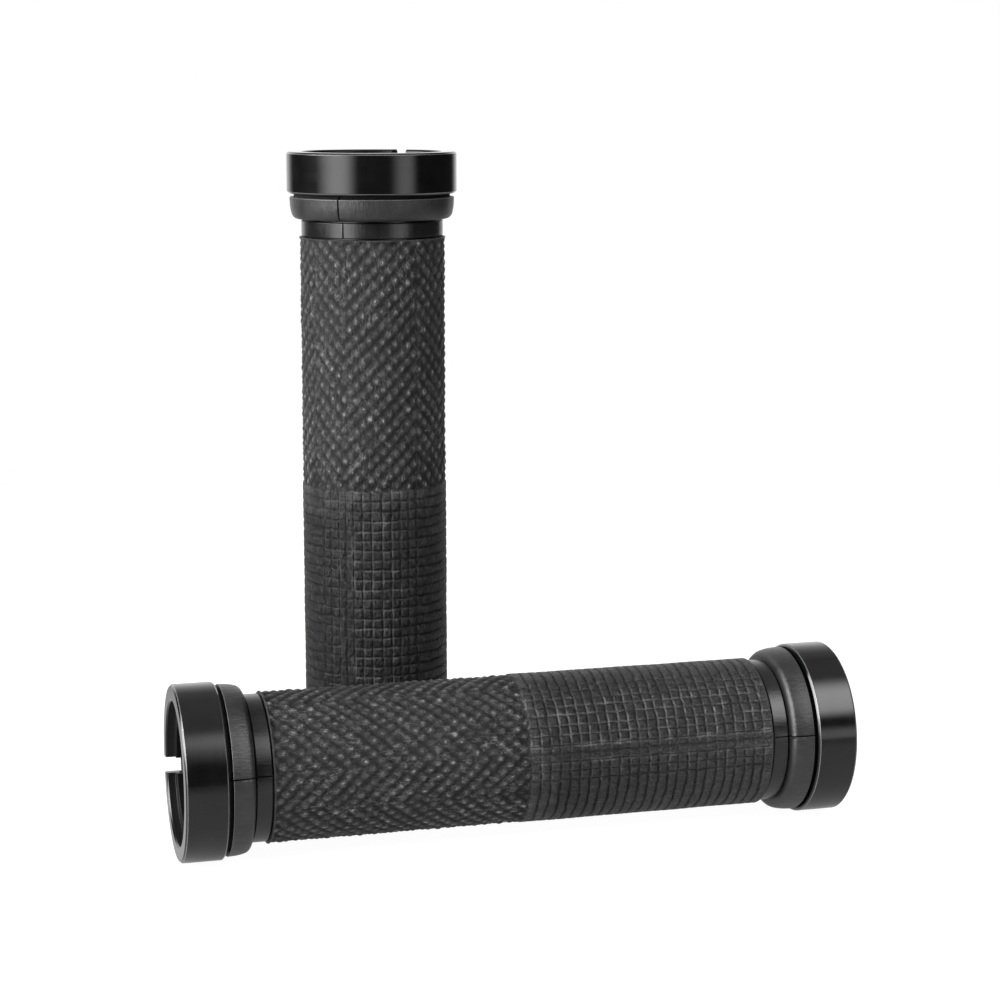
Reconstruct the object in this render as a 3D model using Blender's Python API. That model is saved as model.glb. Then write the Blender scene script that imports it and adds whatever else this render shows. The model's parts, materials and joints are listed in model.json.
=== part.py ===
"""Pair of lock-on handlebar grips: one lying along X, one standing behind it.

Each grip is a plastic core tube with a rubber sleeve over it, a split collar
snapped round each end of the core, and a split aluminium lock ring keyed into
each core end and closed by a small socket-head screw across its slot.

Units are metres, +Z up.  The origin is the bottom centre of the pair's box.
A grip is modelled about its own Z axis with its middle at z = 0 and its parting
line towards +X.  A grip end is modelled in an "end" frame: z = 0 is the lock
ring's outer face, +Z points out of the grip, and the ring's slot is at -X.
"""
import math

import bmesh
import bpy
from mathutils import Matrix

MM = 0.001

# ---- driving dimensions (mm) -------------------------------------------------
GRIP_LENGTH = 130.0        # outer face to outer face of the two lock rings
SEGMENTS = 40              # facets round every large turned piece

RING_R = 16.6              # lock ring outside radius
RING_WIDTH = 8.0
RING_CHAMFER = 0.4
MOUTH_R = 13.5             # shallow recess in the ring's outer face
MOUTH_DEPTH = 1.7
LAND_R = 11.3              # clamping bore, 22.2 mm handlebar plus clearance
SOCKET_R = 12.8            # socket that takes the core's castellated end
SOCKET_START = 6.3
SLOT_WIDTH = 3.0           # split that the clamp screw closes
LUG_ANGLES = (45.0, 135.0, 225.0, 315.0)
LUG_SPAN = 20.0            # degrees round the axis

SCREW_RHO = 13.6           # distance of the screw's axis from the grip's axis
SCREW_DEPTH = 4.0          # distance of the screw's axis from the outer face
SCREW_SEAT = 3.2           # pocket floor, measured from the slot's middle
HEAD_R = 1.85
HEAD_LENGTH = 2.5
SHANK_R = 1.25
SHANK_LENGTH = 8.0
HEX_ACROSS_FLATS = 2.0
HEX_DEPTH = 1.3

FIT_GAP = 0.3              # clear air between neighbouring pieces
COLLAR_START = 8.75        # 0.75 mm black gap behind the ring
COLLAR_END = 12.95
COLLAR_SLIT = 0.4
NECK_START = 13.25
NECK_END = 16.2
NECK_R = 13.85
NECK_SLIT = 0.45
CORE_BORE_R = 11.2         # slides over a 22.2 mm handlebar
CORE_R = 12.5              # core tube under the ring and the collar
CORE_SEAT_R = 12.8         # core tube under the rubber
CORE_START = SOCKET_START + FIT_GAP
NOTCH_SPAN = 24.0
NOTCH_END = RING_WIDTH + FIT_GAP
SLEEVE_START = 16.5
SLEEVE_R = 14.35
SLEEVE_BORE_R = 13.1

AXIS_SPACING = 30.6        # between the two grips' axes, along Y
STANDING_X = -20.0
STANDING_ROLL = -125.7     # degrees: where the standing grip's parting line faces
LYING_ROLL = 9.5           # degrees: parting line above the horizontal, towards -Y

MATERIALS = {
    "lock_ring": ((0.012, 0.012, 0.013, 1.0), 0.22, 1.0),
    "collar": ((0.035, 0.035, 0.037, 1.0), 0.42, 0.0),
    "core": ((0.030, 0.030, 0.032, 1.0), 0.45, 0.0),
    "rubber": ((0.045, 0.045, 0.046, 1.0), 0.75, 0.0),
    "screw": ((0.030, 0.030, 0.032, 1.0), 0.35, 1.0),
}


# ---- helpers -----------------------------------------------------------------
def material(node, look):
    """A Principled material of its own for one node."""
    colour, roughness, metallic = MATERIALS[look]
    mat = bpy.data.materials.new(node)
    mat.use_nodes = True
    shader = mat.node_tree.nodes["Principled BSDF"]
    shader.inputs["Base Color"].default_value = colour
    shader.inputs["Roughness"].default_value = roughness
    shader.inputs["Metallic"].default_value = metallic
    return mat


def add_object(name, bm, parent=None, look=None):
    """Turn a bmesh into a linked object; without a look it is a hidden cutter."""
    bmesh.ops.recalc_face_normals(bm, faces=bm.faces)
    mesh = bpy.data.meshes.new(name)
    bm.to_mesh(mesh)
    bm.free()
    obj = bpy.data.objects.new(name, mesh)
    bpy.context.scene.collection.objects.link(obj)
    obj.parent = parent
    if look is None:
        obj.hide_render = True
        obj.display_type = "WIRE"
    else:
        mesh.materials.append(material(name, look))
        mesh.shade_smooth()
        mesh.set_sharp_from_angle(angle=math.radians(35))
    return obj


def add_empty(name, parent=None, location=(0, 0, 0), rotation=(0, 0, 0), mode="XYZ"):
    obj = bpy.data.objects.new(name, None)
    bpy.context.scene.collection.objects.link(obj)
    obj.parent = parent
    obj.location = [v * MM for v in location]
    obj.rotation_mode = mode
    obj.rotation_euler = [math.radians(v) for v in rotation]
    return obj


def turned(profile, segments=SEGMENTS):
    """Spin a closed (radius, z) profile in mm right round Z into a ring body."""
    bm = bmesh.new()
    verts = [bm.verts.new((r * MM, 0, z * MM)) for r, z in profile]
    edges = [bm.edges.new((a, b)) for a, b in zip(verts, verts[1:] + verts[:1])]
    bmesh.ops.spin(bm, geom=verts + edges, cent=(0, 0, 0), axis=(0, 0, 1), dvec=(0, 0, 0),
                   angle=math.tau, steps=segments, use_merge=True, use_duplicate=False)
    bmesh.ops.remove_doubles(bm, verts=bm.verts, dist=1e-6)
    return bm


def box(bm, x, y, z):
    """Add a box given its (low, high) in mm on each axis."""
    size = [(b - a) * MM for a, b in (x, y, z)]
    centre = [(a + b) / 2 * MM for a, b in (x, y, z)]
    bmesh.ops.create_cube(bm, size=1.0, matrix=Matrix.Translation(centre) @ Matrix.Diagonal((*size, 1)))


def rod(bm, radius, y_low, y_high, x, z, segments=16):
    """Add a closed cylinder along Y, its axis at (x, z), all in mm."""
    place = (Matrix.Translation((x * MM, (y_low + y_high) / 2 * MM, z * MM))
             @ Matrix.Rotation(math.radians(90), 4, "X"))
    bmesh.ops.create_cone(bm, cap_ends=True, segments=segments, radius1=radius * MM,
                          radius2=radius * MM, depth=(y_high - y_low) * MM, matrix=place)


def sector(bm, r_low, r_high, z_low, z_high, middle, span, steps=8):
    """Add a closed block between two radii, spanning an angle about Z (degrees)."""
    loops = []
    for i in range(steps + 1):
        angle = math.radians(middle - span / 2 + span * i / steps)
        corner = [(r_low, z_low), (r_high, z_low), (r_high, z_high), (r_low, z_high)]
        loops.append([bm.verts.new((r * MM * math.cos(angle), r * MM * math.sin(angle), z * MM))
                      for r, z in corner])
    for a, b in zip(loops, loops[1:]):
        for k in range(4):
            bm.faces.new((a[k], a[(k + 1) % 4], b[(k + 1) % 4], b[k]))
    bm.faces.new(loops[0])
    bm.faces.new(reversed(loops[-1]))


def cut(obj, name, bm):
    """Subtract a cutter body from an object with a live Boolean."""
    cutter = add_object(name, bm, parent=obj)
    boolean = obj.modifiers.new(name, "BOOLEAN")
    boolean.operation = "DIFFERENCE"
    boolean.solver = "EXACT"
    boolean.object = cutter


# ---- pieces --------------------------------------------------------------------
def make_lock_ring(node, end):
    """Split clamp ring: mouth recess, clamping land, keyed socket, slot, screw bore."""
    c = RING_CHAMFER
    ring = add_object(node, turned([
        (MOUTH_R + 0.3, 0), (RING_R - c, 0), (RING_R, -c), (RING_R, c - RING_WIDTH),
        (RING_R - c, -RING_WIDTH), (LAND_R, -RING_WIDTH), (LAND_R, -MOUTH_DEPTH),
        (MOUTH_R, -MOUTH_DEPTH), (MOUTH_R, -0.3)]), end, "lock_ring")

    bm = bmesh.new()
    for angle in LUG_ANGLES:     # the four pockets leave the lugs standing between them
        sector(bm, LAND_R - 1, SOCKET_R, -RING_WIDTH - 1, -SOCKET_START, angle + 45, 90 - LUG_SPAN, 8)
    cut(ring, node + ".socket", bm)

    bm = bmesh.new()
    box(bm, (-RING_R - 2, -LAND_R + 3), (-SLOT_WIDTH / 2, SLOT_WIDTH / 2), (-RING_WIDTH - 2, 2))
    cut(ring, node + ".slot", bm)

    bm = bmesh.new()
    rod(bm, SHANK_R + FIT_GAP, SCREW_SEAT - SHANK_LENGTH - 0.2, SCREW_SEAT + 1, -SCREW_RHO, -SCREW_DEPTH)
    cut(ring, node + ".screw_hole", bm)
    bm = bmesh.new()
    rod(bm, HEAD_R + FIT_GAP, SCREW_SEAT, RING_R, -SCREW_RHO, -SCREW_DEPTH, 20)
    cut(ring, node + ".screw_pocket", bm)
    return ring


def make_clamp_screw(node, ring):
    """Socket-head screw; its origin and its Y axis lie on the screw's own axis."""
    head_y = SCREW_SEAT + FIT_GAP
    bevel = 0.25
    profile = [(0, head_y - SHANK_LENGTH), (SHANK_R - bevel, head_y - SHANK_LENGTH),
               (SHANK_R, head_y - SHANK_LENGTH + bevel), (SHANK_R, head_y), (HEAD_R, head_y),
               (HEAD_R, head_y + HEAD_LENGTH - bevel), (HEAD_R - bevel, head_y + HEAD_LENGTH),
               (0, head_y + HEAD_LENGTH)]
    bm = bmesh.new()
    verts = [bm.verts.new((r * MM, y * MM, 0)) for r, y in profile]
    edges = [bm.edges.new(pair) for pair in zip(verts, verts[1:])]
    bmesh.ops.spin(bm, geom=verts + edges, cent=(0, 0, 0), axis=(0, 1, 0), dvec=(0, 0, 0),
                   angle=math.tau, steps=16, use_merge=True, use_duplicate=False)
    bmesh.ops.remove_doubles(bm, verts=bm.verts, dist=1e-6)
    screw = add_object(node, bm, ring, "screw")
    screw.location = (-SCREW_RHO * MM, 0, -SCREW_DEPTH * MM)

    bm = bmesh.new()
    top = head_y + HEAD_LENGTH
    rod(bm, HEX_ACROSS_FLATS / math.sqrt(3), top - HEX_DEPTH, top + 1, 0, 0, 6)
    cut(screw, node + ".hex", bm)


def make_collar(node, end):
    """C-shaped collar with a rounded shoulder, split on the grip's parting line."""
    rim = SOCKET_R
    shoulder = [(15.85, COLLAR_START), (16.1, COLLAR_START + 0.25), (15.98, 10.7), (15.72, 11.6),
                (15.25, 12.3), (14.6, 12.75), (13.9, COLLAR_END)]
    collar = add_object(node, turned([(rim, -COLLAR_START)] + [(r, -s) for r, s in shoulder]
                                     + [(rim, -COLLAR_END)]), end, "collar")
    bm = bmesh.new()
    half = COLLAR_SLIT / 2
    box(bm, (rim - 2, RING_R + 2), (-half, half), (-COLLAR_END - 1, 1 - COLLAR_START))
    cut(collar, node + ".slit", bm)


def make_core(node, axis):
    """Core tube: castellated ends, a neck ring near each end with the parting slit."""
    half = GRIP_LENGTH / 2
    step = 0.2
    one_end = [(CORE_BORE_R, CORE_START), (CORE_R, CORE_START), (CORE_R, NECK_START),
               (NECK_R - step, NECK_START), (NECK_R, NECK_START + step), (NECK_R, NECK_END - step),
               (NECK_R - step, NECK_END), (CORE_SEAT_R, NECK_END)]
    profile = [(r, half - s) for r, s in one_end] + [(r, s - half) for r, s in reversed(one_end)]
    core = add_object(node, turned(profile), axis, "core")

    bm = bmesh.new()
    for sign in (1, -1):
        z = sorted((sign * (half - CORE_START + 1), sign * (half - NOTCH_END)))
        for angle in LUG_ANGLES:
            sector(bm, CORE_BORE_R - 1, CORE_R + 0.6, z[0], z[1], angle, NOTCH_SPAN, 4)
    cut(core, node + ".notches", bm)

    bm = bmesh.new()
    for sign in (1, -1):
        z = sorted((sign * (half - NECK_START + 0.1), sign * (half - NECK_END - 0.1)))
        box(bm, (CORE_SEAT_R + 0.35, RING_R), (-NECK_SLIT / 2, NECK_SLIT / 2), z)
    cut(core, node + ".neck_slits", bm)


def make_sleeve(node, axis):
    """Rubber sleeve with a small edge break at both ends."""
    top = GRIP_LENGTH / 2 - SLEEVE_START
    edge = 0.3
    add_object(node, turned([
        (SLEEVE_BORE_R, top), (SLEEVE_R - edge, top), (SLEEVE_R, top - edge),
        (SLEEVE_R, edge - top), (SLEEVE_R - edge, -top), (SLEEVE_BORE_R, -top)]), axis, "rubber")


def make_grip(prefix, axis):
    make_core(prefix + "_core", axis)
    make_sleeve(prefix + "_rubber_sleeve", axis)
    for side, sign in (("outer", 1), ("inner", -1)):
        end = add_empty(f"{prefix}_{side}_end", axis, (0, 0, sign * GRIP_LENGTH / 2),
                        (0 if sign > 0 else 180, 0, 0))
        make_collar(f"{prefix}_{side}_collar", end)
        ring = make_lock_ring(f"{prefix}_{side}_lock_ring", end)
        make_clamp_screw(f"{prefix}_{side}_clamp_screw", ring)


for old in list(bpy.data.objects):
    bpy.data.objects.remove(old, do_unlink=True)

make_grip("upright", add_empty("upright_axis", None, (STANDING_X, AXIS_SPACING / 2, GRIP_LENGTH / 2),
                               (0, 0, STANDING_ROLL)))
make_grip("lying", add_empty("lying_axis", None, (0, -AXIS_SPACING / 2, RING_R),
                             (0, -90, LYING_ROLL - 90), "ZYX"))
bpy.context.view_layer.update()
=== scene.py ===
import json
import math

import bmesh
import bpy
import numpy as np
from mathutils import Matrix, Vector


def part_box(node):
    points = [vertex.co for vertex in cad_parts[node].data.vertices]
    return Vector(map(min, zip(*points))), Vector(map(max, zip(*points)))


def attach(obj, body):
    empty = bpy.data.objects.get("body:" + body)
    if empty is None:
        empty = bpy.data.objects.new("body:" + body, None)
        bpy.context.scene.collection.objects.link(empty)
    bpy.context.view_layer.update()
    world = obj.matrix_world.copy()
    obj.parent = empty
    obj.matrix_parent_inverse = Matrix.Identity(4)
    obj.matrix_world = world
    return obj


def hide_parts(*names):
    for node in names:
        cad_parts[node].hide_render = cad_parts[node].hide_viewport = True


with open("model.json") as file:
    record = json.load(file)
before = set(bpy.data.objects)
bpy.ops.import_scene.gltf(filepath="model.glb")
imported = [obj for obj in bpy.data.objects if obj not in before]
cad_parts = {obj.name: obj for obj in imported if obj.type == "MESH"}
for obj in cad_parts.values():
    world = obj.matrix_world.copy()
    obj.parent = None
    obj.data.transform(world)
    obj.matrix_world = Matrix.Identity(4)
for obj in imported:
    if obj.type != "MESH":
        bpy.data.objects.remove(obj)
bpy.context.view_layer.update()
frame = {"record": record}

MM = 0.001
SHARP_ANGLE = 32.0         # steeper edges are shaded sharp, in degrees

# ---- sizes shared with the CAD, in mm ------------------------------------------
RING_R, RING_WIDTH, RING_CHAMFER = 16.6, 8.0, 0.4
MOUTH_R, MOUTH_DEPTH = 13.5, 1.7
LAND_R, SOCKET_R, SOCKET_START = 11.3, 12.8, 6.3
SLOT_WIDTH = 3.0
LUG_ANGLES = (45.0, 135.0, 225.0, 315.0)
LUG_SPAN, NOTCH_SPAN = 20.0, 24.0          # degrees
SCREW_RHO, SCREW_DEPTH, SCREW_SEAT = 13.6, 4.0, 3.2
HEAD_R, HEAD_LENGTH, SHANK_R, SHANK_LENGTH = 1.85, 2.5, 1.25, 8.0
HEXAGON_R, HEXAGON_DEPTH, THREAD_PITCH = 1.0, 1.3, 0.45
FIT_GAP = 0.3
COLLAR_START, COLLAR_END, COLLAR_SLIT = 8.75, 12.95, 0.24
SPIGOT_R, COLLAR_R = 15.25, 16.1   # the spigot is a low step that fills the gap behind the ring
NECK_START, NECK_END, NECK_R, NECK_SLIT = 13.25, 16.2, 13.85, 0.3
CORE_BORE_R, CORE_R, CORE_SEAT_R, CORE_START = 11.2, 12.5, 12.8, 6.6
SLEEVE_R, SLEEVE_BORE_R, SLEEVE_LENGTH = 14.35, 13.1, 97.0

# ---- sleeve pattern, in mm and degrees -----------------------------------------
COLUMNS = 345              # vertices round the sleeve, five to each knurl column
KNURL_DEPTH = 0.54
RIB_PERIOD = 3.05          # along the axis
RIB_RISE, DOT_COLUMNS = 10, 23     # ribs and columns of dots in one round of the pattern
SECTOR_PERIOD = 90.0       # the ribs change hand twice in every quarter turn
WIDE_SECTOR = 60.0
GROOVE_PITCH, GROOVE_DEPTH, GROOVE_HALF_WIDTH = 1.94, 0.34, 0.17
SEAM_DEPTH = 0.26
PANELS = (0, 172)          # columns of the parting lines, front and back
PANEL_LINES = (-20, -13, -6, 6, 13, 20, 28, 35, 42, 49, 56)   # in columns from the parting line
STRIP_EDGE = 6             # the plain strip along the parting line ends at these lines
PLAIN_WEAR_AND_GLINT = 0.25          # away from the panels; lip paleness, part rubbing and part painted highlight
BAND_WEAR_AND_GLINT = ((-26, -8, 5, 38, 50), (0.25, 0.5, 1.0, 1.0, 0.4))   # lip paleness at columns from the line: rubbing, and painted highlight where the light falls


# ==== meshes ======================================================================
def new_object(name, verts, faces, place, smooth=SHARP_ANGLE):
    """Mesh object from mm vertices, placed by a matrix in metres."""
    mesh = bpy.data.meshes.new(name)
    mesh.from_pydata((np.asarray(verts, float) * MM).tolist(), [], faces)
    mesh.validate()
    bm = bmesh.new()
    bm.from_mesh(mesh)
    bmesh.ops.recalc_face_normals(bm, faces=bm.faces)
    bm.to_mesh(mesh)
    bm.free()
    mesh.shade_smooth()
    mesh.set_sharp_from_angle(angle=math.radians(smooth))
    obj = bpy.data.objects.new(name, mesh)
    bpy.context.scene.collection.objects.link(obj)
    obj.matrix_world = place
    return obj


def fillet(points, radii, steps=4):
    """Round the corners of a closed polygon; radii holds one radius per corner."""
    out = []
    count = len(points)
    for i, (p, radius) in enumerate(zip(points, radii)):
        p = np.array(p, float)
        if radius <= 0:
            out.append(tuple(p))
            continue
        a = np.array(points[i - 1], float) - p
        b = np.array(points[(i + 1) % count], float) - p
        a, b = a / np.linalg.norm(a), b / np.linalg.norm(b)
        half = math.acos(np.clip(a @ b, -1, 1)) / 2
        reach = radius / math.tan(half)
        centre = p + (a + b) / np.linalg.norm(a + b) * radius / math.sin(half)
        start, end = p + a * reach - centre, p + b * reach - centre
        turn = math.atan2(start[0] * end[1] - start[1] * end[0], start @ end)
        for k in range(steps + 1):
            t = turn * k / steps
            out.append((centre[0] + start[0] * math.cos(t) - start[1] * math.sin(t),
                        centre[1] + start[0] * math.sin(t) + start[1] * math.cos(t)))
    return out


def inset(profile, amount):
    """Move a closed profile inwards by a small amount."""
    p = np.array(profile, float)
    area = np.sum(p[:, 0] * np.roll(p[:, 1], -1) - np.roll(p[:, 0], -1) * p[:, 1])
    edge = np.roll(p, -1, 0) - p
    normal = np.stack([-edge[:, 1], edge[:, 0]], 1) * math.copysign(1, area)
    normal /= np.linalg.norm(normal, axis=1)[:, None]
    mean = normal + np.roll(normal, 1, 0)
    return p + mean * (2 * amount / np.maximum(np.sum(mean ** 2, 1), 0.5))[:, None]


def swept(corners, radii, arc, steps, slot=0.0, slot_at=0.0, ease=0.0):
    """Turn a closed profile of (radius, z) corners, rounded in arc steps each, round Z.

    With a slot the ring stays open between two parallel walls, whose edges are
    eased by insetting the profile there.
    """
    profile = np.array(fillet(corners, radii, arc))
    count = len(profile)
    rows = []
    if slot <= 0:
        for i in range(steps):
            rows.append((profile, np.full(count, math.tau * i / steps)))
    else:
        small = np.array(fillet(inset(corners, ease), [0.6 * r for r in radii], arc))
        gap = np.arcsin(slot / 2 / small[:, 0])
        eased = np.arcsin((slot / 2 + ease) / profile[:, 0])
        rows.append((small, slot_at + gap))
        for i in range(steps + 1):
            rows.append((profile, slot_at + eased + (math.tau - 2 * eased) * i / steps))
        rows.append((small, slot_at + math.tau - gap))
    verts = np.concatenate([np.stack([p[:, 0] * np.cos(a), p[:, 0] * np.sin(a), p[:, 1]], 1)
                            for p, a in rows])
    faces = []
    spans = len(rows) if slot <= 0 else len(rows) - 1
    for i in range(spans):
        a, b = i * count, (i + 1) % len(rows) * count
        for k in range(count):
            n = (k + 1) % count
            faces.append((a + k, a + n, b + n, b + k))
    if slot > 0:
        faces.append(tuple(range(count)))
        faces.append(tuple(range((len(rows) - 1) * count, len(rows) * count)))
    return verts, faces


def block(x, y, z):
    """Box between the two ends of each range."""
    verts = [(a, b, c) for a in x for b in y for c in z]
    return np.array(verts, float), [(0, 1, 3, 2), (4, 6, 7, 5), (0, 4, 5, 1), (2, 3, 7, 6),
                                    (0, 2, 6, 4), (1, 5, 7, 3)]


def rod(radius, low, high, x, z, sides):
    """Closed cylinder along Y with its axis at (x, z)."""
    t = np.arange(sides) * math.tau / sides
    verts = [np.stack([x + radius * np.sin(t), np.full(sides, y), z + radius * np.cos(t)], 1)
             for y in (low, high)]
    faces = [(k, (k + 1) % sides, sides + (k + 1) % sides, sides + k) for k in range(sides)]
    faces += [tuple(range(sides)), tuple(range(sides, 2 * sides))]
    return np.concatenate(verts), faces


def sector(r, z, middle, span, steps):
    """Closed block between two radii and two heights, spanning an angle about Z."""
    angles = np.radians(middle - span / 2 + span * np.arange(steps + 1) / steps)
    corners = ((r[0], z[0]), (r[1], z[0]), (r[1], z[1]), (r[0], z[1]))
    verts = [(c[0] * math.cos(a), c[0] * math.sin(a), c[1]) for a in angles for c in corners]
    faces = [(4 * i + k, 4 * i + (k + 1) % 4, 4 * i + 4 + (k + 1) % 4, 4 * i + 4 + k)
             for i in range(steps) for k in range(4)]
    return np.array(verts), faces + [(0, 1, 2, 3), tuple(4 * steps + k for k in range(4))]


def bake(obj):
    """Replace an object's mesh by what its modifiers make of it."""
    bpy.context.view_layer.update()
    mesh = bpy.data.meshes.new_from_object(obj.evaluated_get(bpy.context.evaluated_depsgraph_get()))
    obj.modifiers.clear()
    mesh.name = obj.name
    obj.data = mesh


def subtract(obj, parts):
    """Cut (verts, faces) bodies out of an object for good, all given in its own frame."""
    verts, faces, start = [], [], 0
    for v, f in parts:
        verts.append(v)
        faces += [tuple(i + start for i in face) for face in f]
        start += len(v)
    tool = new_object(obj.name + "_cut", np.concatenate(verts), faces, obj.matrix_world)
    cut = obj.modifiers.new("cut", "BOOLEAN")
    cut.operation, cut.solver, cut.object = "DIFFERENCE", "MANIFOLD", tool
    bake(obj)
    obj.data.shade_smooth()
    obj.data.set_sharp_from_angle(angle=math.radians(SHARP_ANGLE))
    bpy.data.objects.remove(tool, do_unlink=True)
    return obj


def weigh_normals(obj):
    """Let the large faces set the shading, so they stay flat between rounded edges."""
    weighted = obj.modifiers.new("weighted", "WEIGHTED_NORMAL")
    weighted.keep_sharp = True
    weighted.weight = 90
    bake(obj)
    return obj


# ==== pieces: end pieces in the frame of their end, the others in the grip's ========
def make_lock_ring(name, end):
    """Split clamp ring: mouth, slot, four lugs on its inner land, counterbored screw hole."""
    c, w = RING_CHAMFER, RING_WIDTH
    corners = [(MOUTH_R + 0.3, 0), (RING_R - c, 0), (RING_R, -c), (RING_R, c - w), (RING_R - c, -w),
               (LAND_R + 0.2, -w), (LAND_R, -w + 0.2), (LAND_R, -MOUTH_DEPTH - 0.2),
               (LAND_R + 0.2, -MOUTH_DEPTH), (MOUTH_R, -MOUTH_DEPTH), (MOUTH_R, -0.3)]
    radii = [0.12, 0.12, 0.16, 0.16, 0.12, 0.05, 0.05, 0.05, 0.05, 0.1, 0.12]
    ring = new_object(name, *swept(corners, radii, 3, 256, SLOT_WIDTH, math.pi, 0.12), end)
    between_lugs = [sector((LAND_R - 1, SOCKET_R), (-w - 1, -SOCKET_START), angle + 45,
                           90 - LUG_SPAN, 40) for angle in LUG_ANGLES]
    subtract(ring, between_lugs)
    hole = rod(SHANK_R + FIT_GAP, SCREW_SEAT - SHANK_LENGTH - 0.2, SCREW_SEAT + 1,
               -SCREW_RHO, -SCREW_DEPTH, 40)
    counterbore = rod(HEAD_R + FIT_GAP, SCREW_SEAT, RING_R, -SCREW_RHO, -SCREW_DEPTH, 48)
    return subtract(ring, [hole, counterbore])


def make_screw(name, end):
    """Threaded socket-head screw, drawn along its own Z and laid along the end's Y."""
    sides = 36
    turn = np.arange(sides) * math.tau / sides
    tip = SCREW_SEAT + FIT_GAP - SHANK_LENGTH
    neck, top = SCREW_SEAT + FIT_GAP, SCREW_SEAT + FIT_GAP + HEAD_LENGTH
    rows = [(np.full(sides, SHANK_R - 0.3), tip)]          # radii round the screw, and height
    for z in np.arange(tip + 0.15, neck - 0.5, THREAD_PITCH / 6):
        tooth = np.abs(((z - tip) / THREAD_PITCH - turn / math.tau) % 1 - 0.5) * 2
        rows.append((SHANK_R - 0.02 - 0.2 * tooth * min(1, (neck - 0.5 - z) / 0.3 + 0.2), z))
    flat = [(SHANK_R - 0.05, neck - 0.35), (SHANK_R - 0.05, neck), (HEAD_R - 0.06, neck),
            (HEAD_R, neck + 0.06), (HEAD_R, top - 0.3), (HEAD_R - 0.03, top - 0.17),
            (HEAD_R - 0.12, top - 0.06), (HEAD_R - 0.25, top), (1.3, top)]
    rows += [(np.full(sides, r), z) for r, z in flat]
    hexagon = HEXAGON_R / np.cos((turn + math.pi / 6) % (math.pi / 3) - math.pi / 6)
    rows += [(hexagon + 0.07, top), (hexagon, top - 0.08), (hexagon, top - HEXAGON_DEPTH)]
    verts = np.concatenate([np.stack([r * np.cos(turn), r * np.sin(turn), np.full(sides, z)], 1)
                            for r, z in rows])
    faces = [(i * sides + k, i * sides + (k + 1) % sides, (i + 1) * sides + (k + 1) % sides,
              (i + 1) * sides + k) for i in range(len(rows) - 1) for k in range(sides)]
    faces.append(tuple(range(sides)))
    faces.append(tuple(range((len(rows) - 1) * sides, len(rows) * sides)))
    lay = (Matrix.Translation((-SCREW_RHO * MM, 0, -SCREW_DEPTH * MM))
           @ Matrix.Rotation(math.radians(-90), 4, "X"))
    return new_object(name, verts, faces, end @ lay)


def make_collar(name, end):
    """Flange with a slit and a rounded shoulder, and a low spigot towards the lock ring."""
    bore, start = SOCKET_R, -RING_WIDTH - 0.06
    corners = [(bore, start), (SPIGOT_R, start), (SPIGOT_R, -COLLAR_START),
               (COLLAR_R, -COLLAR_START), (15.98, -10.9), (15.45, -COLLAR_END), (bore, -COLLAR_END)]
    radii = [0.05, 0.08, 0.05, 0.14, 9.0, 1.35, 0.1]
    return new_object(name, *swept(corners, radii, 10, 224, COLLAR_SLIT, 0.0, 0.07), end, 40)


def make_core(name, axis, half):
    """Tube with notches for the lugs and a slit neck at both ends; half is the grip's half."""
    shoulder = 0.18
    one_end = [(CORE_BORE_R + 0.2, CORE_START), (CORE_R - 0.1, CORE_START),
               (CORE_R, CORE_START + 0.1), (CORE_R, NECK_START), (NECK_R, NECK_START),
               (NECK_R, NECK_END), (CORE_SEAT_R, NECK_END)]
    radii = [0, 0.05, 0.05, 0, shoulder, shoulder, 0]
    corners = [(r, half - s) for r, s in one_end] + [(r, s - half) for r, s in reversed(one_end)]
    corners += [(CORE_BORE_R, CORE_START + 0.2 - half), (CORE_BORE_R, half - CORE_START - 0.2)]
    core = new_object(name, *swept(corners, radii + radii[::-1] + [0, 0], 4, 192), axis)
    parts = []
    for sign in (1, -1):
        z = sorted((sign * (half - CORE_START + 1), sign * (half - RING_WIDTH - FIT_GAP)))
        parts += [sector((CORE_BORE_R - 1, CORE_R + 0.6), z, a, NOTCH_SPAN, 12) for a in LUG_ANGLES]
        z = sorted((sign * (half - NECK_START + 0.1), sign * (half - NECK_END - 0.1)))
        parts.append(block((CORE_SEAT_R + 0.35, RING_R), (-NECK_SLIT / 2, NECK_SLIT / 2), z))
    return subtract(core, parts)


def scatter(*keys):
    """Repeatable pseudo-random numbers from 0 to 1, one per set of integer keys."""
    mixed = sum(k * w for k, w in zip(keys, (12.9898, 78.233, 37.719)))
    return np.modf(np.abs(np.sin(mixed) * 43758.5453))[0]


def smoothstep(x, low, high):
    """0 below low, 1 above high, and a smooth rise between."""
    t = np.clip((x - low) / (high - low), 0, 1)
    return t * t * (3 - 2 * t)


def knurl_depth(phi, v):
    """Depth below the sleeve's skin of the chevron knurl, at angle phi (degrees) and v mm in."""
    arc = math.radians(1) * SLEEVE_R
    repeat, within = np.floor(phi / SECTOR_PERIOD), phi % SECTOR_PERIOD
    rise = 2 * WIDE_SECTOR - SECTOR_PERIOD
    folded = np.where(within < WIDE_SECTOR, within, 2 * WIDE_SECTOR - within) + rise * repeat
    round_trip = rise * 360 / SECTOR_PERIOD * arc      # the pattern closes on itself
    u = folded * arc
    stray = (0.09 * np.sin(np.radians(7 * phi) + 0.53 * v)
             + 0.07 * np.sin(np.radians(16 * phi) - 1.27 * v))
    rib = (v + stray + u * (RIB_RISE * RIB_PERIOD / round_trip)) / RIB_PERIOD
    column = u * DOT_COLUMNS / round_trip
    hand = np.where(within < WIDE_SECTOR, 0, 1) + 2 * repeat
    dot = column - rib                                 # nearly square to the ribs
    lift = scatter(np.floor(rib + 0.5), np.floor(dot + 0.5), hand)
    crest = (0.5 + 0.5 * np.cos(math.tau * rib)) ** 0.62
    lump = 0.40 + 0.60 * (0.5 + 0.5 * np.cos(math.tau * dot)) ** 0.8
    return KNURL_DEPTH * (1 - crest * lump * (0.72 + 0.28 * lift))


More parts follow.
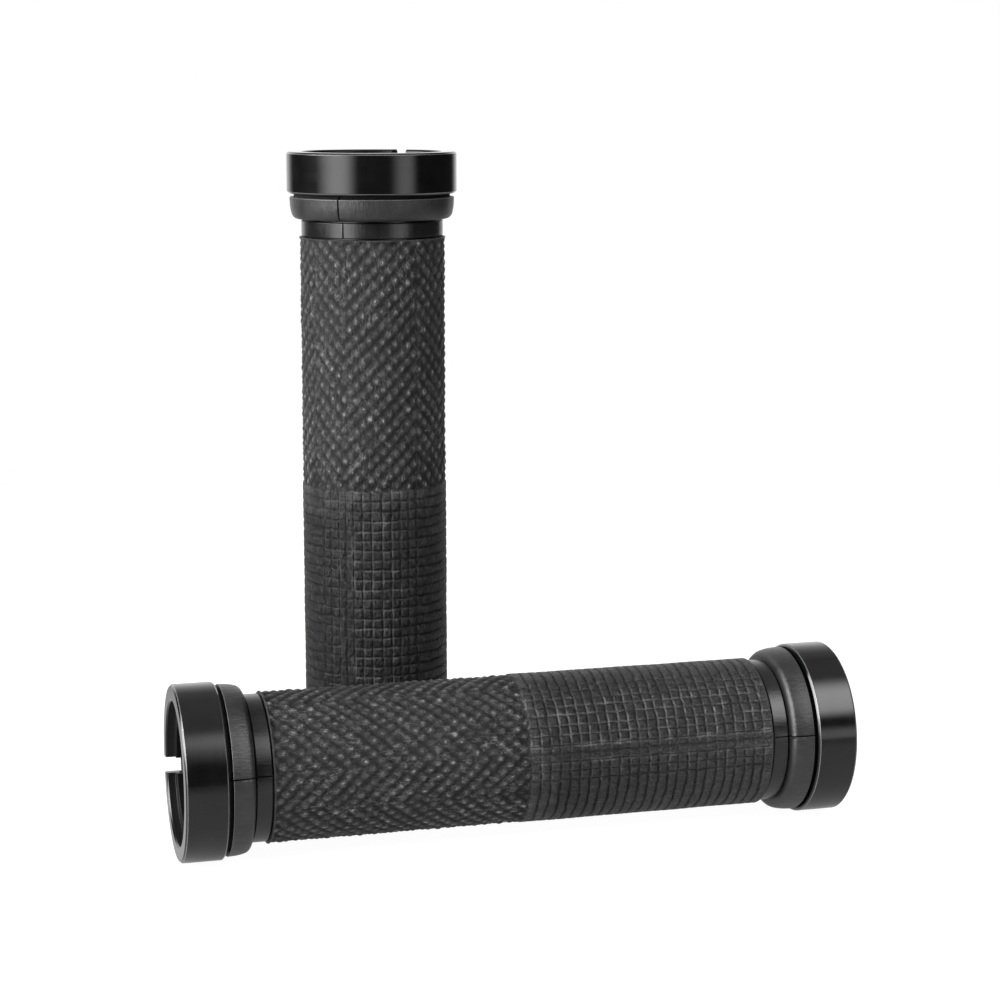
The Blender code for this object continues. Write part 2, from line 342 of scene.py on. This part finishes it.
def sleeve_rows(half):
    """Where the sleeve's rings of vertices lie, in mm from the knurled end."""
    offsets = (0.0, 0.11, 0.26, 0.45, 1.52, 1.80)     # rows within one ring groove pitch
    grooves = int(half / GROOVE_PITCH + 1e-6)
    knurl_rows = np.concatenate([[0.0, 0.04, 0.12], np.linspace(0.3, half - 0.3, 128)])
    grid_rows = np.array([half + GROOVE_PITCH * k + o for k in range(grooves) for o in offsets])
    rows = np.concatenate([knurl_rows, grid_rows, SLEEVE_LENGTH - np.array([0.12, 0.04, 0.0])])
    return np.unique(np.round(rows[rows <= SLEEVE_LENGTH], 4))


def panel_columns():
    """The two grid panels as values round the sleeve, one for each column of vertices.

    line: depth of the lines along the grip. lip: the pale edges beside them, mostly on one side,
    part rubbing and part painted highlight.
    shift: how far a column moves to keep a line narrow. inside: 1 within a panel.
    polish: how pale the lips are there, part rubbing and part painted highlight where the light
    falls. strip: 1 on the plain strip. seam: the parting line.
    """
    line, lip, shift, inside, strip, seam = np.zeros((6, COLUMNS))
    band_wear_and_glint = np.full(COLUMNS, PLAIN_WEAR_AND_GLINT)
    for panel in PANELS:
        reach = np.arange(-30, 60)
        band_wear_and_glint[(panel + reach) % COLUMNS] = np.interp(reach, *BAND_WEAR_AND_GLINT)
        for at in PANEL_LINES:
            i = (panel + at) % COLUMNS
            line[i] = 1.0
            # pale lip on one side of the line: painted highlight on the lit edge, with rubbing
            lip[(i + 1) % COLUMNS] = 1.0
            if abs(at) == STRIP_EDGE:
                lip[(i - 1) % COLUMNS] = 1.0
            for side in (-1, 1):
                line[(i + side) % COLUMNS] = 0.28
                shift[(i + side) % COLUMNS] = -side * 0.36
        span = np.arange(PANEL_LINES[0] - 4, PANEL_LINES[-1] + 5)
        to_edge = np.minimum(span - span[0], span[-1] - span)
        inside[(panel + span) % COLUMNS] = np.minimum(1, to_edge / 4)
        strip[[(panel + k) % COLUMNS for k in range(1 - STRIP_EDGE, STRIP_EDGE)]] = 1
        seam[[(panel + k) % COLUMNS for k in (-1, 0, 1)]] = (0.35, 1.0, 0.35)
    return line, lip, shift, inside, band_wear_and_glint, strip, seam


def make_sleeve(name, axis):
    """Rubber sleeve: chevron knurl on the half towards +Z, ring grooves and grids on the other.

    Two attributes go to its material: relief, 1 on the skin and 0 at the bottom of the knurl, and
    worn, 1 on the crests and lips that are paled most, part as rubbing and part as painted
    highlight.
    """
    half = SLEEVE_LENGTH / 2
    rows = sleeve_rows(half)
    index = np.arange(COLUMNS)
    v, column = np.meshgrid(rows, index, indexing="ij")
    phi = column * 360.0 / COLUMNS
    knurl = knurl_depth(phi, v)

    # grooved half: rings all round, lines along the grip on the front and back panels
    line, lip, shift, inside, band_wear_and_glint, strip, seam = panel_columns()
    past = (v - half) % GROOVE_PITCH
    nearest = np.minimum(past, GROOVE_PITCH - past)
    ring = np.exp(-(nearest / GROOVE_HALF_WIDTH) ** 2) * (1 - 0.6 * strip)
    cell = np.floor((v - half) / GROOVE_PITCH + 0.5)
    uneven = 0.75 + 0.25 * scatter(cell, np.floor(column / 7.0), 3)
    grid = GROOVE_DEPTH * uneven * (1 - (1 - ring) * (1 - line))
    # pale lip just past each ring groove, on one side: part rubbing, part painted highlight
    lip_ring = np.clip(1 - np.abs(past - 0.24) / 0.2, 0, 1)
    lip_ring = lip_ring * (0.25 + 0.75 * inside) * (1 - 0.6 * strip)
    patchy = 0.35 + 0.65 * scatter(cell, np.floor(column / 4.0), 8)
    lip = np.maximum(lip, lip_ring) * band_wear_and_glint * patchy

    # both halves together, level at the two ends
    on_grid = smoothstep(v, half - 0.35, half - 0.02)
    rim = smoothstep(v, 0.12, 0.4) * smoothstep(SLEEVE_LENGTH - v, 0.12, 0.4)
    depth = np.maximum(knurl * (1 - on_grid) + grid * on_grid, SEAM_DEPTH * seam)
    sway = 0.018 * (np.sin(phi * math.radians(5) + v * 0.31)
                    + np.sin(phi * math.radians(11) - v * 0.53))
    depth = depth * rim + (0.036 + sway) * rim
    # paleness of the lips and knurl crests: part rubbing, part painted highlight
    wear_and_glint = lip * on_grid + (1 - on_grid) * (1 - knurl / KNURL_DEPTH) ** 3

    # ring grooves wave along the axis and lines wander round it
    crease = on_grid * rim * (0.07 * np.sin(phi * math.radians(9) + cell * 2.1)
                              + 0.05 * np.sin(phi * math.radians(23) - cell * 1.3))
    drift = on_grid * 0.22 * np.sin(v * 0.9 + phi * math.radians(17))
    edge = np.minimum(v, SLEEVE_LENGTH - v)
    rounding = 0.14 * np.clip(1 - edge / 0.12, 0, 1) ** 2
    radius = SLEEVE_R - depth - rounding
    angle = np.radians((column + shift * on_grid + drift) * 360.0 / COLUMNS)
    skin = np.stack([radius * np.cos(angle), radius * np.sin(angle), half - v + crease], -1)
    base = np.radians(index * 360.0 / COLUMNS)
    bore = [np.stack([SLEEVE_BORE_R * np.cos(base), SLEEVE_BORE_R * np.sin(base),
                      np.full(COLUMNS, z)], 1) for z in (-half, half)]
    verts = np.concatenate([skin.reshape(-1, 3)] + bore)
    total = len(rows) + 2
    faces = []
    for i in range(total):
        a, b = i * COLUMNS, (i + 1) % total * COLUMNS
        faces += [(a + k, a + (k + 1) % COLUMNS, b + (k + 1) % COLUMNS, b + k)
                  for k in range(COLUMNS)]
    sleeve = new_object(name, verts, faces, axis, 60)
    for key, field in (("relief", 1 - depth / KNURL_DEPTH), ("wear_and_glint", wear_and_glint * rim)):
        values = np.concatenate([field.ravel(), np.zeros(2 * COLUMNS)])
        attribute = sleeve.data.attributes.new(key, "FLOAT", "POINT")
        attribute.data.foreach_set("value", np.clip(values, 0, 1).astype(np.float32))
    return sleeve


# ==== materials =====================================================================
class Nodes:
    """Shorthand for building the node tree of a material, light or world."""

    def __init__(self, owner):
        owner.use_nodes = True
        self.tree = owner.node_tree

    def add(self, kind, **settings):
        """New node; each setting is an input's value, or else a property of the node."""
        node = self.tree.nodes.new(kind)
        for key, value in settings.items():
            if key in node.inputs:
                node.inputs[key].default_value = value
            else:
                setattr(node, key, value)
        return node

    def link(self, out, into):
        self.tree.links.new(out, into)

    def plug(self, value, socket):
        """Give an input a number, or link an output to it."""
        if isinstance(value, (int, float)):
            socket.default_value = value
        else:
            self.link(value, socket)

    def split(self, vector):
        """The x, y and z of a vector."""
        node = self.add("ShaderNodeSeparateXYZ")
        self.link(vector, node.inputs[0])
        return node.outputs["X"], node.outputs["Y"], node.outputs["Z"]

    def math(self, operation, a, b=0.0):
        node = self.add("ShaderNodeMath", operation=operation)
        self.plug(a, node.inputs[0])
        self.plug(b, node.inputs[1])
        return node.outputs[0]

    def times(self, a, b):
        return self.math("MULTIPLY", a, b)

    def plus(self, a, b):
        return self.math("ADD", a, b)

    def remap(self, value, low, high, to_low=0.0, to_high=1.0, smooth=False):
        """Map the range low..high to to_low..to_high, and keep within it."""
        kind = "SMOOTHSTEP" if smooth else "LINEAR"
        node = self.add("ShaderNodeMapRange", interpolation_type=kind)
        for key, number in zip(("From Min", "From Max", "To Min", "To Max"),
                               (low, high, to_low, to_high)):
            node.inputs[key].default_value = number
        self.link(value, node.inputs["Value"])
        return node.outputs["Result"]

    def mix(self, factor, first, second):
        """Mix two numbers."""
        node = self.add("ShaderNodeMix", data_type="FLOAT")
        self.link(factor, node.inputs[0])
        self.plug(first, node.inputs[2])
        self.plug(second, node.inputs[3])
        return node.outputs[0]


class Material(Nodes):
    """Node tree of a new material, with its principled shader."""

    def __init__(self, name):
        self.mat = bpy.data.materials.new(name)
        super().__init__(self.mat)
        self.shader = self.tree.nodes["Principled BSDF"]

    def coords(self, scale=(1, 1, 1)):
        """Object coordinates in mm, stretched by a scale."""
        source = self.add("ShaderNodeTexCoord")
        mapping = self.add("ShaderNodeMapping", Scale=[s / MM for s in scale])
        self.link(source.outputs["Object"], mapping.inputs["Vector"])
        return mapping.outputs["Vector"]

    def noise(self, scale, vector, detail=3.0, roughness=0.55):
        node = self.add("ShaderNodeTexNoise", Scale=scale, Detail=detail, Roughness=roughness)
        self.link(vector, node.inputs["Vector"])
        return node.outputs["Fac"]

    def crack(self, noise):
        """Distance of a noise from its middle value, which runs in thin wandering lines."""
        return self.math("ABSOLUTE", self.plus(noise, -0.5))

    def attribute(self, name):
        return self.add("ShaderNodeAttribute", attribute_name=name).outputs["Fac"]

    def colour(self, factor, first, second):
        """Mix two colours; the first may be a socket."""
        node = self.add("ShaderNodeMix", data_type="RGBA")
        sockets = [s for s in node.inputs if s.type == "RGBA"]
        for socket, value in zip(sockets, (first, second)):
            if isinstance(value, tuple):
                socket.default_value = (*value, 1)
            else:
                self.link(value, socket)
        self.link(factor, node.inputs[0])
        return [s for s in node.outputs if s.type == "RGBA"][0]

    def around(self, middle):
        """Radius about the piece's Z and distance along it from the middle, both in mm."""
        x, y, z = self.split(self.coords())
        square = self.plus(self.math("POWER", x, 2.0), self.math("POWER", y, 2.0))
        return self.math("SQRT", square), self.math("ABSOLUTE", self.plus(z, -middle))

    def bump(self, height, strength, distance, below=None):
        """Bump of a height from 0 to 1 over a distance in mm, on top of another normal."""
        node = self.add("ShaderNodeBump", Strength=strength, Distance=distance * MM)
        self.link(height, node.inputs["Height"])
        if below is not None:
            self.link(below, node.inputs["Normal"])
        return node.outputs["Normal"]

    def finish(self, colour, roughness, normal, metallic=0.0, specular=0.5):
        self.link(colour, self.shader.inputs["Base Color"])
        self.link(roughness, self.shader.inputs["Roughness"])
        self.link(normal, self.shader.inputs["Normal"])
        self.shader.inputs["Metallic"].default_value = metallic
        self.shader.inputs["Specular IOR Level"].default_value = specular
        return self.mat


def rubber_material(name, start_shade, end_shade, lip_wear_and_glint, scratches):
    """Moulded rubber: painted shade in the valleys, pale crests that are part scuffing and part
    painted highlight, and a crumpled skin.

    Painted shade darkens the grooved half, by start_shade beside the knurl and end_shade at its far
    end. There, wear says how pale the lips beside the grooves are, part rubbing and part painted
    highlight, and scratches how pale the fine lines.
    """
    n = Material(name)
    flat = n.coords()
    along = n.coords((1, 1, 0.5))
    z = n.split(flat)[2]
    relief, wear_and_glint = n.attribute("relief"), n.attribute("wear_and_glint")
    mottle = n.noise(0.35, flat, 4)
    crumple = n.noise(1.3, along, 3, 0.6)
    fine = n.noise(4.2, flat, 4, 0.65)
    speck = n.noise(2.2, along, 2, 0.6)
    thread = n.noise(0.6, n.coords((1, 1, 0.35)), 5, 0.6)
    grooved = n.remap(z, 0.3, -0.3)
    on_knurl = n.remap(grooved, 0, 1, 1, 0)

    # base: painted shade darkens the valleys, paler on the skin, with mottled tone
    shade = n.plus(n.times(relief, 0.75), n.times(mottle, 0.25))
    shade = n.times(n.remap(shade, 0.15, 0.9), n.remap(fine, 0.35, 0.62, 0.45, 1.0))
    colour = n.colour(shade, (0.0125, 0.0125, 0.0127), (0.066, 0.066, 0.0665))
    # painted shade: the grooved half darker than the knurl, and darker again towards its far end
    height = n.plus(z, n.remap(mottle, 0.3, 0.7, -5, 5))
    painted_shade = n.times(n.remap(height, 5, -6), n.remap(height, -8, -44, start_shade, end_shade))
    colour = n.colour(painted_shade, colour, (0.001, 0.001, 0.0011))

    # knurl: pale crests, part rubbing and part painted highlight, and a few thin scuffs, in patches
    scuff = n.remap(n.crack(thread), 0.012, 0.004, 0, 0.35)
    crests = n.times(n.remap(speck, 0.50, 0.62, 0.06, 1.0), n.remap(wear_and_glint, 0.12, 0.62))
    patch = n.remap(n.noise(0.16, flat, 3, 0.6), 0.40, 0.58, 0.45, 1.0)
    crests = n.times(n.times(n.math("MAXIMUM", crests, scuff), on_knurl), patch)

    # grooved half: pale lips beside the grooves, part rubbing and part painted highlight, and fine
    # scratches
    lips = n.times(wear_and_glint, n.remap(fine, 0.38, 0.62, 0.35 * lip_wear_and_glint, 0.8 * lip_wear_and_glint))
    lips = n.times(lips, n.remap(mottle, 0.42, 0.58, 0.25, 1.0))
    scratch = n.noise(2.4, n.coords((1, 1, 0.25)), 3, 0.6)
    scratch = n.remap(scratch, 0.50, 0.68, 0.0, scratches)
    # pale marks: scuffs and scratches, with painted highlight mixed into the crests and lips
    marks = n.plus(crests, n.times(n.math("MAXIMUM", lips, scratch), grooved))
    colour = n.colour(marks, colour, (0.28, 0.28, 0.281))

    rough = n.remap(n.plus(fine, relief), 0.5, 1.6, 0.62, 0.34)
    creases = n.crack(n.noise(1.1, n.coords((1, 1, 0.55)), 4, 0.6))
    normal = n.bump(crumple, 1.0, 1.15)
    normal = n.bump(n.remap(creases, 0.0, 0.07), 1.0, 0.16, normal)
    normal = n.bump(fine, 1.0, 0.30, normal)
    return n.finish(colour, rough, normal, specular=0.24)


def anodised_material():
    """Black anodised metal with faint turning lines and a pale outer corner, part rubbing and part
    painted highlight.

    The mouth and bore are rougher, and a dark specular tint dims their reflection as painted shade.
    """
    n = Material("black_anodised")
    flat = n.coords()
    turning = n.noise(5.0, n.coords((0.02, 0.02, 1)), 3, 0.6)
    cloud = n.noise(0.25, flat, 3)
    speck = n.noise(9.0, flat, 2)
    half = RING_WIDTH / 2
    radius, height = n.around(-half)
    colour = n.colour(n.remap(cloud, 0.3, 0.7), (0.0020, 0.0020, 0.0022), (0.0036, 0.0036, 0.0038))
    # pale outer corner: painted highlight along the chamfer edges, with some rubbing
    corner = n.times(n.remap(radius, RING_R - 0.20, RING_R - 0.10),
                     n.remap(height, half - RING_CHAMFER - 0.02, half - RING_CHAMFER + 0.05))
    corner = n.times(corner, n.remap(speck, 0.3, 0.6, 0.4, 1.0))
    colour = n.colour(corner, colour, (0.10, 0.10, 0.101))
    rough = n.plus(n.remap(turning, 0.3, 0.7, 0.10, 0.15), n.remap(cloud, 0.3, 0.7, 0.0, 0.03))
    rough = n.times(rough, n.remap(height, half - 0.03, half - 0.01, 1, 0.5))   # end faces glossier
    inside = n.remap(radius, MOUTH_R + 0.1, MOUTH_R - 0.1)
    rough = n.plus(rough, n.times(inside, 0.4))
    # painted shade: a dark specular tint inside the mouth and bore
    tint = n.colour(inside, (1.0, 1.0, 1.0), (0.12, 0.12, 0.12))
    n.link(tint, n.shader.inputs["Specular Tint"])
    normal = n.bump(turning, 0.35, 0.012)
    normal = n.bump(speck, 0.05, 0.01, normal)
    return n.finish(colour, rough, normal)


def moulded_material(name, low, high, gloss, rim=False):
    """Satin moulded plastic with faint rub marks along and round the piece and a dull bore.

    With a rim, the rub marks are deeper, the corner beside the lock ring is paler and the spigot is
    black, a painted shade for the gap behind the ring.
    """
    n = Material(name)
    flat = n.coords()
    around = n.coords((0.12, 0.12, 1))
    lengthwise = n.coords((1, 1, 0.22))
    cloud = n.noise(0.30, flat, 4)
    rub = n.noise(2.4, lengthwise, 4, 0.65)
    turned = n.noise(6.0, around, 3, 0.6)
    grain = n.noise(14.0, flat, 2)
    radius, height = n.around(0.0)
    shade = n.plus(n.times(cloud, 0.5), n.times(rub, 0.5))
    colour = n.colour(n.remap(shade, 0.38, 0.62), low, high)
    rough = n.plus(n.remap(rub, 0.3, 0.7, gloss, gloss + 0.08), n.remap(cloud, 0.3, 0.7, 0.0, 0.05))
    rough = n.plus(rough, n.remap(radius, CORE_BORE_R + 0.5, CORE_BORE_R + 0.2, 0.0, 0.5))
    if rim:
        corner = n.times(n.remap(height, COLLAR_START + 0.14, COLLAR_START + 0.04),
                         n.remap(radius, COLLAR_R - 0.20, COLLAR_R - 0.12))
        corner = n.times(corner, n.remap(grain, 0.3, 0.6, 0.4, 1.0))
        colour = n.colour(corner, colour, (0.11, 0.11, 0.111))
        # painted shade: the spigot is black, standing in for shade in the gap behind the lock ring
        spigot = n.times(n.remap(height, COLLAR_START + 0.01, COLLAR_START - 0.01),
                         n.remap(radius, SPIGOT_R + 0.05, SPIGOT_R + 0.02))
        colour = n.colour(spigot, colour, (0.0005, 0.0005, 0.0005))
        rough = n.math("MAXIMUM", rough, spigot)
    normal = n.bump(grain, 0.10, 0.03)
    normal = n.bump(turned, 0.12, 0.03, normal)
    normal = n.bump(rub, 1.0 if rim else 0.25, 0.12, normal)
    return n.finish(colour, rough, normal)


def oxide_material():
    """Black oxide on steel."""
    n = Material("black_oxide_steel")
    flat = n.coords()
    cloud = n.noise(1.2, flat, 4)
    grain = n.noise(12.0, flat, 3)
    colour = n.colour(n.remap(cloud, 0.3, 0.7), (0.045, 0.045, 0.048), (0.085, 0.083, 0.080))
    rough = n.remap(grain, 0.3, 0.7, 0.30, 0.46)
    return n.finish(colour, rough, n.bump(grain, 0.12, 0.02), metallic=1.0)


def floor_material():
    """White floor without a horizon: its glow grows towards the edge.

    Matt surfaces get an even fill from it. In reflections only the strip beside the lying
    grip glows.
    """
    n = Material("pale_floor")
    n.tree.nodes.remove(n.shader)
    place = n.add("ShaderNodeTexCoord").outputs["Object"]
    length = n.add("ShaderNodeVectorMath", operation="LENGTH")
    n.link(place, length.inputs[0])
    away = n.math("ABSOLUTE", n.plus(n.split(place)[1], FLOOR_STRIP))
    seen = n.remap(length.outputs["Value"], 0.05, 0.9 * FLOOR_RADIUS, FLOOR_GLOW, 1.0)
    mirrored = n.remap(away, 0.070, 0.170, 0.42, 0.04)
    path = n.add("ShaderNodeLightPath")
    lit = n.mix(path.outputs["Is Diffuse Ray"], mirrored, FLOOR_FILL)
    glow = n.add("ShaderNodeEmission")
    n.link(n.mix(path.outputs["Is Camera Ray"], lit, seen), glow.inputs["Strength"])
    diffuse = n.add("ShaderNodeBsdfDiffuse", Color=(0.15, 0.15, 0.15, 1))
    both = n.add("ShaderNodeAddShader")
    n.link(diffuse.outputs[0], both.inputs[0])
    n.link(glow.outputs[0], both.inputs[1])
    n.link(both.outputs[0], n.tree.nodes["Material Output"].inputs["Surface"])
    return n.mat


# ==== assembly ======================================================================
def middle_of(node):
    """Middle of a CAD node's box, in metres."""
    low, high = (Vector(p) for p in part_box(node))
    return (low + high) / 2


def grip_frames(prefix):
    """The grip's own frame and its two end frames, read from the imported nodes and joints."""
    low, high = (Vector(p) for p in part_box(prefix + "_core"))
    centre = (low + high) / 2
    along = max(range(3), key=lambda k: (high - low)[k])
    towards = middle_of(prefix + "_outer_lock_ring") - middle_of(prefix + "_inner_lock_ring")
    z = Vector([0, 0, 0])
    z[along] = math.copysign(1, towards[along])
    joints = frame["record"]["behaviour"]["joints"]
    screw = next(j for j in joints if j["name"] == prefix + "_outer_screw_turn")
    x = centre - Vector(screw["pos_m"])
    x = (x - x.dot(z) * z).normalized()
    y = z.cross(x)
    axis = Matrix.Translation(centre) @ Matrix((x, y, z)).transposed().to_4x4()
    low, high = (Vector(p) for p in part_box(prefix + "_outer_lock_ring"))
    half = max(abs(low[along] - centre[along]), abs(high[along] - centre[along]))
    outer = axis @ Matrix.Translation((0, 0, half))
    inner = axis @ Matrix.Translation((0, 0, -half)) @ Matrix.Rotation(math.pi, 4, "X")
    return axis, {"outer": outer, "inner": inner}, half / MM


def adopt(obj, mat, body, node):
    """Give a piece its material and body, and hide the CAD node it stands for."""
    obj.data.materials.clear()
    obj.data.materials.append(mat)
    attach(obj, body)
    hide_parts(node)


def build_grips():
    """Two alike grips of eight pieces each, in their two frames."""
    anodised, oxide = anodised_material(), oxide_material()
    # the upright copy has more painted shade towards its far end, fainter pale lips and more
    # scratches
    rubbers = {"lying": rubber_material("moulded_rubber", 0.73, 0.42, 1.0, 0.07),
               "upright": rubber_material("moulded_rubber_scratched_and_shaded", 0.83, 0.98, 0.66, 0.12)}
    collar_mat = moulded_material("collar_plastic", (0.010, 0.010, 0.0102), (0.018, 0.018, 0.0183),
                                  0.28, True)
    core_mat = moulded_material("core_plastic", (0.005, 0.005, 0.0052), (0.009, 0.009, 0.0092),
                                0.16)
    for prefix in ("lying", "upright"):
        axis, ends, half = grip_frames(prefix)
        grip = prefix + "_grip"
        core = weigh_normals(make_core(prefix + "_core_tube", axis, half))
        adopt(core, core_mat, grip, prefix + "_core")
        sleeve = make_sleeve(prefix + "_sleeve", axis)
        adopt(sleeve, rubbers[prefix], grip, prefix + "_rubber_sleeve")
        for side, end in ends.items():
            base = f"{prefix}_{side}"
            collar = weigh_normals(make_collar(base + "_split_collar", end))
            adopt(collar, collar_mat, grip, base + "_collar")
            ring = weigh_normals(make_lock_ring(base + "_clamp_ring", end))
            adopt(ring, anodised, base + "_ring", base + "_lock_ring")
            screw = make_screw(base + "_socket_screw", end)
            adopt(screw, oxide, base + "_screw", base + "_clamp_screw")


# ==== stage, light and camera =========================================================
FLOOR_RADIUS, FLOOR_GLOW, FLOOR_FILL = 0.42, 0.96, 1.3
FLOOR_STRIP = 0.0153       # how far in front of the middle the lying grip's axis runs
FLOOR_DROP = 0.0002
CAMERA_AT = Vector((-0.1139, -0.4289, 0.1420))
CAMERA_YAW, CAMERA_PITCH = 15.10, 10.14
CAMERA_LENS = 82.8
LIGHT_AIM, LIGHT_DISTANCE = Vector((0, 0, 0.06)), 1.2
SOFTBOXES = (              # azimuths, elevations and radiance, for softbox()
    ("left_box", (-80, -46, -39, -15), (-30, -12, 24, 46), 4.4),
    ("right_low_box", (25, 46, 52, 69), (-22, -8, 2, 12), 2.0),
    ("right_high_box", (20, 51, 60, 78), (18, 32, 48, 70), 5.9),
    ("key_box", (-102, -82, -52, -32), (3, 16, 38, 52), 13.5),
)
WALL_TURN = 6              # degrees that the bright back wall sits to the left


def build_stage():
    bpy.ops.mesh.primitive_circle_add(vertices=96, radius=FLOOR_RADIUS, fill_type="NGON",
                                      location=(0, 0, -FLOOR_DROP))
    floor = bpy.context.object
    floor.name = "floor"
    floor.data.materials.append(floor_material())


def softbox(name, azimuths, elevations, radiance):
    """Area light that fades out towards its edges.

    Four azimuths and four elevations in degrees give where it starts, reaches full
    strength, leaves it and ends; azimuth 0 is the camera's side and grows to its right.
    """
    middle_a, middle_e = (azimuths[0] + azimuths[3]) / 2, (elevations[0] + elevations[3]) / 2
    reach_a = math.tan(math.radians(azimuths[3] - middle_a))
    reach_e = math.tan(math.radians(elevations[3] - middle_e))
    a, e = math.radians(middle_a - CAMERA_YAW), math.radians(middle_e)
    away = Vector((math.sin(a) * math.cos(e), -math.cos(a) * math.cos(e), math.sin(e)))
    light = bpy.data.lights.new(name, "AREA")
    light.shape = "RECTANGLE"
    light.size, light.size_y = 2 * reach_a * LIGHT_DISTANCE, 2 * reach_e * LIGHT_DISTANCE
    light.energy = radiance * math.pi * light.size * light.size_y
    n = Nodes(light)
    x, y, _ = n.split(n.add("ShaderNodeNewGeometry").outputs["Parametric"])
    windows = []
    for value, angles, middle, reach in ((x, azimuths, middle_a, reach_a),
                                         (y, elevations, middle_e, reach_e)):
        stops = [0.5 + 0.5 * math.tan(math.radians(t - middle)) / reach for t in angles]
        windows.append(n.times(n.remap(value, stops[0], stops[1], smooth=True),
                               n.remap(value, stops[3], stops[2], smooth=True)))
    n.link(n.times(*windows), n.tree.nodes["Emission"].inputs["Strength"])
    obj = bpy.data.objects.new(name, light)
    bpy.context.scene.collection.objects.link(obj)
    obj.location = LIGHT_AIM + away * LIGHT_DISTANCE
    obj.rotation_euler = (-away).to_track_quat("-Z", "Y").to_euler()


def build_light():
    """Four softboxes and a world with a pale wall behind the object, plain white when seen."""
    for box in SOFTBOXES:
        softbox(*box)
    world = bpy.data.worlds.new("studio")
    bpy.context.scene.world = world
    n = Nodes(world)
    turned = n.add("ShaderNodeVectorRotate", rotation_type="Z_AXIS",
                   Angle=math.radians(CAMERA_YAW))
    n.link(n.add("ShaderNodeTexCoord").outputs["Generated"], turned.inputs["Vector"])
    x, y, z = n.split(turned.outputs["Vector"])
    azimuth = n.math("ARCTAN2", x, y)                      # 0 straight behind the object
    off_wall = n.math("ABSOLUTE", n.plus(azimuth, math.radians(WALL_TURN)))
    back = n.remap(off_wall, math.radians(46), math.radians(24), 0.03, 1.1, smooth=True)
    wall = n.times(back, n.remap(z, 0.25, 0.65, 1.0, 0.35))
    above = n.remap(z, 0.65, 0.95, 0.0, 0.45, smooth=True)
    lit = n.tree.nodes["Background"]
    lit.inputs["Color"].default_value = (1, 1, 1, 1)
    n.link(n.math("MAXIMUM", wall, above), lit.inputs["Strength"])
    seen = n.add("ShaderNodeBackground", Color=(1, 1, 1, 1), Strength=1.0)
    mix = n.add("ShaderNodeMixShader")
    n.link(n.add("ShaderNodeLightPath").outputs["Is Camera Ray"], mix.inputs["Fac"])
    n.link(lit.outputs[0], mix.inputs[1])
    n.link(seen.outputs[0], mix.inputs[2])
    n.link(mix.outputs[0], n.tree.nodes["World Output"].inputs["Surface"])


def build_camera():
    data = bpy.data.cameras.new("camera")
    data.lens, data.sensor_width = CAMERA_LENS, 36.0
    data.clip_start, data.clip_end = 0.01, 20
    cam = bpy.data.objects.new("camera", data)
    bpy.context.scene.collection.objects.link(cam)
    yaw, pitch = math.radians(CAMERA_YAW), math.radians(CAMERA_PITCH)
    look = Vector((math.sin(yaw) * math.cos(pitch), math.cos(yaw) * math.cos(pitch),
                   -math.sin(pitch)))
    cam.location = CAMERA_AT
    cam.rotation_euler = look.to_track_quat("-Z", "Y").to_euler()
    bpy.context.scene.camera = cam


build_grips()
build_stage()
build_light()
build_camera()
bpy.context.scene.view_settings.view_transform = "Standard"
